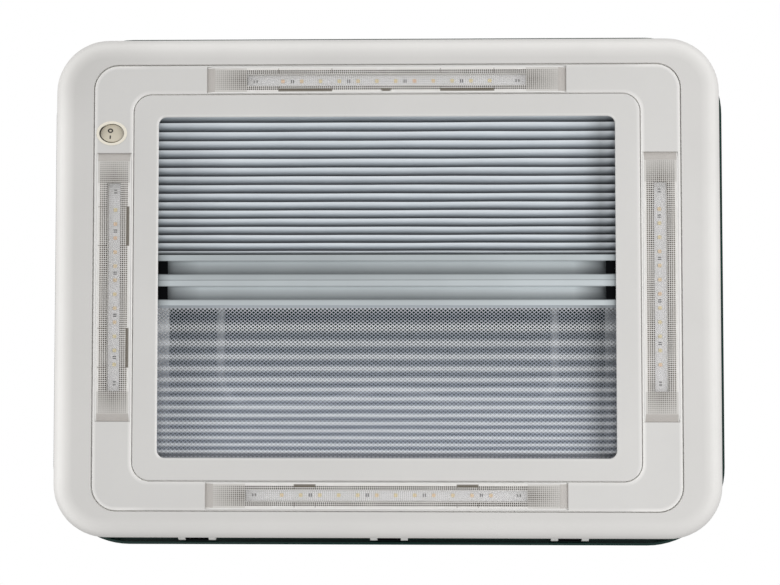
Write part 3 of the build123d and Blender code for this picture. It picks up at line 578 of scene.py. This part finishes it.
def tinted_acrylic(name, gloss):
    """Smoked acrylic of the dome: deep green-black gloss, hairlines and a film of dust on top."""
    g = fresh(name)
    deep = (0.008, 0.032, 0.026)
    body = g.ramp(g.noise(3.0, 3.0), (0.3, tinted(deep, 0.85)), (0.7, tinted(deep, 1.2)))
    hairlines = g.ramp(g.noise(1.0, 5.0, 0.7, g.scaled((260.0, 9.0, 40.0))), (0.6, 0.0), (0.72, 1.0))
    upward = g.axes(g.node("ShaderNodeNewGeometry").outputs["Normal"])[2]
    settled = g.times(g.math("MAXIMUM", upward, 0.0), g.noise(7.0, 6.0, 0.7))
    film = g.ramp(settled, (0.35, 0.0), (0.8, 0.035))
    body = g.blend(film, body, (0.42, 0.40, 0.36))
    rough = g.line(film, 2.5, g.line(hairlines, 0.08, 0.055))
    g.set(base_color=body, roughness=rough, coat_weight=gloss * 0.35, specular_ior_level=gloss * 0.3)
    return g.owner


def centre_of(low, high):
    return (low + high) / 2


def unit_frame(unit):
    """Centre, half length, half width and turn of one light unit."""
    low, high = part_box("light_cover_" + unit)
    size = high - low
    turn = unit_turns[unit]
    half_length, half_width = (size.x / 2, size.y / 2) if turn in (0, 180) else (size.y / 2, size.x / 2)
    return centre_of(low, high), half_length, half_width, turn


def unit_axes(g, unit):
    """Coordinates along and across a light unit in its own frame, and the level."""
    middle, _, _, turn = unit_frame(unit)
    axes = g.axes()
    x = g.math("SUBTRACT", axes[0], middle.x)
    y = g.math("SUBTRACT", axes[1], middle.y)
    cosine = round(math.cos(math.radians(turn)))
    sine = round(math.sin(math.radians(turn)))
    along = g.math("ADD", g.times(x, cosine), g.times(y, sine))
    across = g.math("SUBTRACT", g.times(y, cosine), g.times(x, sine))
    return along, across, axes[2]


def board_size(unit):
    """Length and width of a light unit's circuit board."""
    low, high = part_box("led_strip_" + unit)
    return sorted((high - low).to_tuple(), reverse=True)[:2]


def prismatic(unit):
    """Clear cover: prism dots painted dark as shade seen through them, deepest beside the board, over a pale
    lattice with plain ends and a painted highlight along the rims.
    """
    g = fresh("clear_cover_" + unit)
    _, half_length, half_width, _ = unit_frame(unit)
    board_end, board_side = (size / 2 for size in board_size(unit))
    along, across, _ = unit_axes(g, unit)
    reach = g.distance(along)
    side = g.distance(across)
    phases = [g.math("FRACT", g.math("DIVIDE", value, prism_pitch)) for value in (along, across)]
    offsets = [g.distance(phase, 0.5) for phase in phases]
    dot = g.within(g.math("MAXIMUM", *offsets), dot_half_share, dot_edge_share)

    # Painted shade of the dots: fading from the board towards each plain end, and varying at random along the
    # rows
    in_end = g.step_up(reach, board_end, cover_edge)
    in_row = g.inverse(in_end)
    ramp_zone = g.step_up(reach, half_length - ramp_length, cover_edge)
    strip_zone = g.step_up(side, half_width - strip_width, cover_side_edge)
    from_board = g.math("DIVIDE", g.math("SUBTRACT", reach, board_end), half_length - board_end)
    end_shade = g.math("SUBTRACT", 1.15, g.distance(from_board), clamp=True)
    end_shade = g.times(end_shade, g.inverse(g.math("DIVIDE", side, half_width * 2.6)))
    row_shade = g.line(g.noise(30.0, 2.0), 0.7, 0.65)
    shade = g.math("ADD", g.times(in_end, end_shade), g.times(in_row, row_shade))
    shade = g.math("MULTIPLY", shade, g.inverse(g.math("MAXIMUM", ramp_zone, strip_zone)), clamp=True)

    pale = g.blend(in_end, (0.86, 0.84, 0.81), (0.70, 0.68, 0.65))
    pale = g.blend(ramp_zone, pale, (0.57, 0.54, 0.51))
    # Painted shade: the darkest dots lie beside the board
    beside = g.times(g.span(side, board_side, board_side + dark_row_breadth, cover_edge), in_row)
    depth = g.math("MAXIMUM", beside, g.times(in_end, 0.5))
    dark = g.blend(depth, (0.20, 0.18, 0.155), (0.065, 0.055, 0.045))
    body = g.blend(g.times(dot, shade), pale, dark)
    # Painted highlight along the rims
    body = g.blend(g.step_up(side, half_width - rim_highlight_width, rim_highlight_width / 2), body, (0.93, 0.92, 0.90))
    body = cover_marks(g, body, unit, across, reach, side)

    over_board = g.times(g.within(side, board_side, cover_side_edge), g.within(reach, board_end, cover_edge))
    clear = g.times(over_board, g.line(dot, 0.16, 0.78))
    opaque = g.math("SUBTRACT", g.line(g.noise(90.0, 3.0), 0.08, 0.9), clear, clamp=True)
    g.set(base_color=body, roughness=0.28, normal=g.bump(dot, prism_depth, 0.6))
    shadow_ray = g.node("ShaderNodeLightPath").outputs["Is Shadow Ray"]
    g.see_through(g.math("MAXIMUM", g.inverse(opaque), g.times(shadow_ray, 0.9)))
    return g.owner


def cover_marks(g, body, unit, across, reach, side):
    """Adds painted shade in the slots with a dark tick at each end, and painted glints of the clips, to a
    cover's colour.
    """
    _, _, half_width, _ = unit_frame(unit)
    board_side = board_size(unit)[1] / 2
    slot_end = half_width - slot_inset
    for low, high in cover_slots.get(unit, ()):
        slot = g.span(reach, low, high, mark_end_edge)
        slot = g.times(slot, g.span(across, slot_end - slot_breadth, slot_end, mark_side_edge))
        # Painted shade in the slot
        body = g.blend(g.times(slot, 0.85), body, (0.11, 0.09, 0.06))
        for place in (low, high):
            if place > tick_start:
                tick = g.span(reach, place - tick_half_width, place + tick_half_width, tick_edge)
                sides = g.span(side, board_side + tick_board_gap, half_width - tick_rim_gap, tick_edge)
                tick = g.times(tick, sides)
                body = g.blend(g.times(tick, 0.6), body, (0.12, 0.10, 0.08))
    far, near = clip_side
    for place in cover_clips.get(unit, ()):
        glint = g.span(reach, place - clip_half_length, place + clip_half_length, mark_end_edge)
        glint = g.times(glint, g.span(side, half_width - far, half_width - near, mark_side_edge))
        # Painted glint
        body = g.blend(g.times(glint, 0.7), body, (0.97, 0.96, 0.94))
    return body


def reflector(unit):
    """Inside of a light unit's tray: pale and mottled, a touch lighter at the ends and sides."""
    g = fresh("reflector_" + unit)
    _, half_length, half_width, _ = unit_frame(unit)
    along, across, _ = unit_axes(g, unit)
    far = g.math("DIVIDE", g.distance(along), half_length)
    wide = g.math("DIVIDE", g.distance(across), half_width)
    shade = g.math("MAXIMUM", g.step_up(far, 0.92, 0.16), g.step_up(wide, 0.8, 0.3))
    body = g.blend(shade, (0.90, 0.89, 0.87), (0.92, 0.91, 0.89))
    mottled = g.noise(120.0, 4.0)
    body = g.blend(g.times(mottled, 0.2), body, (0.78, 0.76, 0.73))
    g.set(base_color=body, roughness=0.45, normal=g.bump(mottled, mottle_depth))
    return g.owner


def board(unit):
    """Circuit board: white solder mask with small parts and end pads, and chips with warm phosphor."""
    g = fresh("light_board_" + unit)
    along, across, level = unit_axes(g, unit)
    side = g.distance(across)
    length, _ = board_size(unit)
    pitch = length * chip_pitch_share
    mask = g.ramp(g.noise(45.0, 3.0), (0.35, (0.93, 0.93, 0.93)), (0.7, (0.97, 0.96, 0.98)))
    for group in resistor_groups:
        part = g.span(g.distance(along, group * pitch), resistor_near, resistor_far, part_edge)
        part = g.times(part, g.within(side, resistor_half_width, part_edge))
        mask = g.blend(part, mask, (0.14, 0.14, 0.15))
    pad = g.span(g.distance(g.distance(along), length / 2 - pad_inset), pad_near, pad_far, pad_edge)
    pad = g.times(pad, g.within(side, pad_half_width, part_edge))
    mask = g.blend(g.times(pad, 0.8), mask, (0.16, 0.16, 0.16))
    chip_phase = g.math("FRACT", g.math("DIVIDE", along, pitch))
    from_middle = g.times(g.math("SUBTRACT", chip_phase, 0.5), pitch)
    warm = g.ramp(g.noise(18.0, 2.0), (0.45, (0.95, 0.82, 0.50)), (0.58, (0.97, 0.68, 0.48)))
    chip = g.blend(g.step_up(g.length(from_middle, across), chip_radius, chip_edge), warm, (0.84, 0.82, 0.76))
    raised = g.step_up(level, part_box("led_strip_" + unit)[0].z + chip_rise, chip_rise_edge)
    g.set(base_color=g.blend(raised, chip, mask), roughness=0.5)
    return g.owner


def beside_rails(g, body, node):
    """Shades a cloth's colour along the hatch, darker towards the two side rails."""
    low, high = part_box(node)
    share = g.math("DIVIDE", g.math("SUBTRACT", g.axes()[0], low.x), high.x - low.x)
    return g.blend(1.0, body, g.ramp(share, *side_shades), "MULTIPLY")


def pleated():
    """Pleated blackout cloth with painted shade from crest to valley and a fine woven rib."""
    g = fresh("blackout_cloth")
    ribs = 1500.0
    shades = (
        (0.0, (0.84, 0.90, 0.95)),
        (0.16, (0.84, 0.90, 0.95)),
        (0.30, (0.80, 0.865, 0.92)),
        (0.45, (0.60, 0.665, 0.72)),
        (0.60, (0.44, 0.495, 0.545)),
        (0.72, (0.25, 0.285, 0.32)),
        (0.84, (0.075, 0.085, 0.105)),
        (0.95, (0.04, 0.045, 0.055)),
    )
    # Painted shade from each crest down to its valley
    body = g.ramp(g.axes(g.uv)[1], *shades)
    drift = g.noise(14.0, 4.0, 0.6, g.scaled((1.0, 4.0, 1.0)))
    body = g.blend(g.ramp(drift, (0.35, 0.0), (0.75, 0.16)), body, (0.45, 0.47, 0.49), "MULTIPLY")
    weave = g.noise(1.0, 2.0, 0.5, g.scaled((ribs, ribs * 2.2, ribs)))
    body = g.blend(g.times(weave, 0.10), body, (0.9, 0.9, 0.9), "SCREEN")
    body = beside_rails(g, body, "blackout_fabric")
    g.set(base_color=body, roughness=0.62, normal=g.bump(weave, weave_depth), sheen_weight=0.25)
    return g.owner


def netting():
    """Pleated insect mesh: pale crossing threads over open diamonds, denser towards the hinge side, with
    painted light on the crests and painted shade in the valleys, between the gathered threads and along the
    window's edge.
    """
    g = fresh("insect_mesh")
    uv = g.axes(g.uv)
    place = g.axes()
    u = g.math("DIVIDE", place[0], thread_pitch_x)
    v = g.math("DIVIDE", uv[0], thread_pitch_y)
    threads = []
    for sign in (1.0, -1.0):
        phase = g.math("FRACT", g.line(v, sign, u))
        threads.append(g.step_up(g.distance(phase, 0.5), thread_offset_share, thread_edge_share))
    thread = g.math("MAXIMUM", *threads)
    crest_stops = ((0.0, 1.0), (0.1, 0.8), (0.26, 0.3), (0.5, 0.0), (0.74, 0.3), (0.9, 0.8), (1.0, 1.0))
    crest = g.ramp(uv[1], *crest_stops)
    low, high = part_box("flyscreen_mesh")
    along = g.math("DIVIDE", g.math("SUBTRACT", place[1], low.y), high.y - low.y)
    gathered = g.ramp(along, (0.0, 0.0), (0.1, 0.0), (0.3, 0.45), (0.6, 1.0), (1.0, 1.0))
    hem = g.within(along, hem_share, hem_edge_share)

    crest_cover = g.times(crest, g.line(gathered, 0.48, 0.02))
    cover = g.math("ADD", g.times(thread, 0.93), crest_cover)
    cover = g.math("ADD", g.line(gathered, 0.38, hem), cover, clamp=True)

    # Painted light on the crests and painted shade in the valleys
    valley = g.blend(gathered, (0.42, 0.465, 0.535), (0.51, 0.56, 0.65))
    body = g.blend(crest, valley, (0.96, 0.98, 1.0))
    # Painted shade between the gathered threads
    between = g.times(g.inverse(thread), gathered)
    body = g.blend(g.times(between, 0.18), body, (0.30, 0.33, 0.38))
    body = g.blend(hem, body, (0.44, 0.48, 0.52))
    # Painted shade along the window's edge on the hinge side
    hinge_lip_shade = g.step_up(place[1], window_half()[1] - net_shade_breadth, net_shade_breadth)
    body = g.blend(g.times(hinge_lip_shade, 0.6), body, (0.20, 0.20, 0.22))
    body = g.blend(g.times(g.noise(700.0, 2.0), 0.2), body, (0.35, 0.36, 0.37))
    body = beside_rails(g, body, "flyscreen_mesh")
    g.set(base_color=body, roughness=0.6)
    g.see_through(g.inverse(cover))
    return g.owner


def dress(material, *names):
    """Gives CAD nodes one material."""
    for name in names:
        for slot in nodes_of[name].material_slots:
            slot.material = material


def new_piece(name, vertices, faces, material, body="root", uvs=None):
    """Mesh piece that rides on a body and takes the material given."""
    mesh = bpy.data.meshes.new(name)
    mesh.from_pydata(vertices, [], faces)
    if uvs is not None:
        layer = mesh.uv_layers.new(name="cloth")
        for loop in mesh.loops:
            layer.data[loop.index].uv = uvs[loop.vertex_index]
    for face in mesh.polygons:
        face.use_smooth = uvs is not None
    mesh.materials.append(material)
    piece = bpy.data.objects.new(name, mesh)
    bpy.context.scene.collection.objects.link(piece)
    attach(piece, body)
    return piece


def spread(shares, length):
    """Widths in the given proportions that fill a length."""
    return [share * length / sum(shares) for share in shares]


def pleat_points(start, pitches, crest, valley, valley_share, bulge, full_depth_pitch):
    """Points of the folded section: y, z, and the place within the pleat from crest to crest."""
    points = []
    place = start
    slope_steps = 8
    fold_steps = round(slope_steps * (1 - valley_share) / valley_share) + 2
    for pitch in pitches:
        depth = (valley - crest) * min(1.0, pitch / full_depth_pitch)
        for step in range(slope_steps):
            t = step / slope_steps
            points.append((place + pitch * valley_share * t, crest + depth * t**bulge, valley_share * t))
        for step in range(fold_steps):
            t = step / fold_steps
            share = valley_share + (1 - valley_share) * t
            points.append((place + pitch * share, crest + depth * (1 - t) ** bulge, share))
        place += pitch
    points.append((place, crest, 1.0))
    return points


def cloth_piece(node, material, shares, folds, wave, seed):
    """Replaces one cloth of the CAD by a finely folded sheet with a slight natural wave.

    The sheet's own coordinates are the distance as seen from the room and the place within a pleat."""
    low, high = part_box(node)
    chance = random.Random(seed)
    pitches = spread(shares, high.y - low.y)
    points = pleat_points(low.y, pitches, low.z, high.z - pleat_clearance, *folds)
    flat_length = sum(math.dist(first[:2], second[:2]) for first, second in zip(points, points[1:]))
    columns = 96
    fixed_rows = 2
    wave_count = 5
    wave_stretch = 3
    wave_damping = 3
    turn_per_row = 0.13
    rise_share = 0.6
    waves = []
    for _ in range(wave_count):
        waves.append((chance.uniform(3, 14), chance.uniform(0, math.tau), chance.uniform(0.3, 1)))
    vertices = []
    uvs = []
    for row, (y, z, phase) in enumerate(points):
        fixed = min(row, len(points) - 1 - row) < fixed_rows
        turn = row * turn_per_row
        for column in range(columns + 1):
            x = low.x + (high.x - low.x) * column / columns
            parts = [size * math.sin(rate * x * wave_stretch + angle + turn) for rate, angle, size in waves]
            sway = 0 if fixed else sum(parts) / wave_damping * wave
            vertices.append((x, y + sway, min(max(z + sway * rise_share, low.z), high.z)))
            uvs.append((y - low.y, phase))
    faces = []
    across = columns + 1
    for row in range(len(points) - 1):
        for column in range(columns):
            first = row * across + column
            faces.append((first, first + across, first + across + 1, first + 1))
    piece = new_piece(node + "_folded", vertices, faces, material, uvs=uvs)
    crest_rows = {row for row, point in enumerate(points) if point[2] in (0.0, 1.0)}
    for edge in piece.data.edges:
        rows = {vertex // across for vertex in edge.vertices}
        if len(rows) == 1 and rows <= crest_rows:
            edge.use_edge_sharp = True
    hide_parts(node)
    return piece, (high.x - low.x, flat_length)


def studio():
    """World light, lamps, the pale floor and the camera."""
    bpy.context.scene.view_settings.view_transform = "Standard"
    world_light()
    for name, (place, size, power) in lamps.items():
        lamp(name, place, size, power)
    floor()
    set_camera()


def world_light():
    """Soft light from the sides. The camera itself sees plain white."""
    world = bpy.data.worlds.new("studio")
    bpy.context.scene.world = world
    world.use_nodes = True
    world.node_tree.nodes.clear()
    g = Graph(world)
    axes = g.axes(g.direction)
    radiance = world_base
    for axis, sign, strength in world_sides:
        facing = g.math("MAXIMUM", g.times(axes[axis], sign), 0.0)
        radiance = g.line(facing, strength, radiance)
    above = g.step_up(axes[2], world_top_edge, world_top_width)
    radiance = g.times(radiance, g.line(above, -world_top_loss, 1.0))
    glow = g.node("ShaderNodeBackground")
    g.feed(radiance, glow.inputs["Strength"])
    white = g.node("ShaderNodeBackground")
    g.feed((1, 1, 1, 1), white.inputs["Color"])
    mixed = g.node("ShaderNodeMixShader")
    g.feed(g.node("ShaderNodeLightPath").outputs["Is Camera Ray"], mixed.inputs[0])
    g.feed(glow.outputs[0], mixed.inputs[1])
    g.feed(white.outputs[0], mixed.inputs[2])
    g.feed(mixed.outputs[0], g.node("ShaderNodeOutputWorld").inputs["Surface"])


def lamp(name, place, size, power):
    """Soft square lamp that faces the middle of the hatch. Those above it aren't mirrored by gloss."""
    data = bpy.data.lights.new(name, "AREA")
    data.size = size
    data.energy = power
    made = bpy.data.objects.new(name, data)
    made.location = place
    made.rotation_euler = (-Vector(place)).to_track_quat("-Z", "Y").to_euler()
    made.visible_camera = False
    made.visible_glossy = place[2] < 0
    bpy.context.scene.collection.objects.link(made)


def floor():
    """Pale floor that is seen from above only, so that the room side stays in view."""
    level = cad_box[0].z - floor_gap
    signs = ((-1, -1), (1, -1), (1, 1), (-1, 1))
    corners = [(x * floor_reach, y * floor_reach, level) for x, y in signs]
    mesh = bpy.data.meshes.new("floor")
    mesh.from_pydata(corners, [], [(0, 1, 2, 3)])
    made = bpy.data.objects.new("floor", mesh)
    bpy.context.scene.collection.objects.link(made)
    g = fresh("floor")
    tone = g.ramp(g.noise(1.5, 4.0), (0.3, (0.62, 0.62, 0.61)), (0.7, (0.65, 0.65, 0.64)))
    g.set(base_color=tone, roughness=0.8)
    g.see_through(g.node("ShaderNodeNewGeometry").outputs["Backfacing"])
    mesh.materials.append(g.owner)
    made.visible_diffuse = False
    made.visible_glossy = False
    made.visible_transmission = False
    made.visible_shadow = False


def set_camera():
    """Camera at the photograph's place, looking up from the room."""
    data = bpy.data.cameras.new("camera")
    data.lens = camera_lens
    data.sensor_width = sensor_width
    data.clip_start = camera_nearest
    made = bpy.data.objects.new("camera", data)
    turns = [Matrix.Rotation(math.radians(-angle), 4, axis) for angle, axis in zip(camera_turns, "XYZ")]
    facing = turns[0] @ turns[1] @ turns[2] @ Matrix.Rotation(math.pi, 4, "X")
    made.matrix_world = Matrix.Translation(camera_place) @ facing
    bpy.context.scene.collection.objects.link(made)
    bpy.context.scene.camera = made


def switch_marks(material):
    """Printed ring and bar on the rocker's face."""
    middle = centre_of(*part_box("switch_housing"))
    middle_x = middle.x - marks_offset
    tree = BVHTree.FromObject(nodes_of["switch_rocker"], bpy.context.evaluated_depsgraph_get())

    def on_face(x, y):
        hit = tree.ray_cast(Vector((x, y, mark_ray_start)), Vector((0, 0, 1)))[0]
        return (x, y, hit.z - mark_rise)

    ring = []
    for step in range(ring_segments):
        angle = math.tau * step / ring_segments
        for half_x, half_y in (ring_outside, ring_inside):
            x = middle_x + half_x * math.cos(angle)
            ring.append(on_face(x, middle.y - ring_offset + half_y * math.sin(angle)))
    faces = []
    for first in range(0, 2 * ring_segments, 2):
        following = (first + 2) % (2 * ring_segments)
        faces.append((first, following, following + 1, first + 1))
    new_piece("switch_mark_ring", ring, faces, material, "rocker")
    half_x, half_y = bar_half
    corners = ((-half_x, -half_y), (-half_x, half_y), (half_x, half_y), (half_x, -half_y))
    bar = [on_face(middle_x + x, middle.y + bar_offset + y) for x, y in corners]
    new_piece("switch_mark_bar", bar, [(0, 1, 2, 3)], material, "rocker")


def cloths():
    """Both cloths, each replaced by a finely folded sheet with a mesh of its own."""
    dark, flat = cloth_piece(
        "blackout_fabric", pleated(), blackout_shares, blackout_folds, blackout_sway, 3
    )
    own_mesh(dark)

    net, flat = cloth_piece("flyscreen_mesh", netting(), mesh_shares, mesh_folds, mesh_sway, 5)
    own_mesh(net)


def finishes():
    """Materials of the rigid CAD pieces, and the marks on the rocker."""
    dress(outer_white(), "outer_trim")
    dress(band_white(), "light_band")
    dress(inner_white(), "inner_trim")
    frame_white = moulded("frame_white", (0.70, 0.70, 0.68), 0.5, dust=0.12)
    dress(frame_white, "roof_frame", "clamp_frame", "hinge_brackets", "latch_keepers", "bow_brackets")
    dress(moulded("rail_white", (0.92, 0.92, 0.92), 0.5), "blind_rail_left")
    # Painted shade: the right rail is a darker copy of the rails' white
    dress(moulded("rail_shaded", (0.42, 0.43, 0.44), 0.5), "blind_rail_right")
    dress(moulded("cassette_white", (0.74, 0.74, 0.73), 0.5), "blind_cassette_front", "blind_cassette_rear")
    dress(switch_bezel(), "switch_housing")
    dress(moulded("switch_rocker", (0.695, 0.64, 0.52), 0.38, shift=0.02), "switch_rocker")
    dress(pull_bar("blackout_bar", (0.668, 0.729, 0.753)), "blackout_bar")
    dress(pull_bar("flyscreen_bar", (0.756, 0.82, 0.847)), "flyscreen_bar")
    black = moulded("black_plastic", (0.002, 0.0023, 0.003), 0.6)
    Graph(black).set(specular_ior_level=0.04)
    dress(black, "blackout_end_plugs", "flyscreen_end_plugs", "hinge_knuckles", "bow_catches")
    latch_grey = moulded("latch_grey", (0.22, 0.22, 0.23), 0.45)
    dress(latch_grey, "latch_bases", "latch_handle_left", "latch_handle_right")
    dress(metal("terminal_brass", (0.72, 0.52, 0.22), 0.35), "switch_terminals")
    steel = metal("screw_steel", (0.62, 0.62, 0.63), 0.32, (300.0, 300.0, 20.0))
    dress(steel, "trim_screws", "clamp_screws", "hinge_pins", "bow_pins")
    dress(moulded("bow_white", (0.58, 0.585, 0.59), 0.35), "bow")
    dress(tinted_acrylic("dome_tint", 1.0), "dome_outer")
    dress(tinted_acrylic("dome_inside", 0.1), "dome_inner")
    dress(rubber("gasket_grey", (0.16, 0.16, 0.165)), "roof_gasket")
    dress(rubber("seal_rubber", (0.022, 0.022, 0.023)), "dome_seal")
    for unit in unit_turns:
        dress(reflector(unit), "light_tray_" + unit)
        dress(board(unit), "led_strip_" + unit)
        dress(prismatic(unit), "light_cover_" + unit)
    switch_marks(moulded("switch_print", (0.025, 0.022, 0.02), 0.6))


finishes()
cloths()
studio()
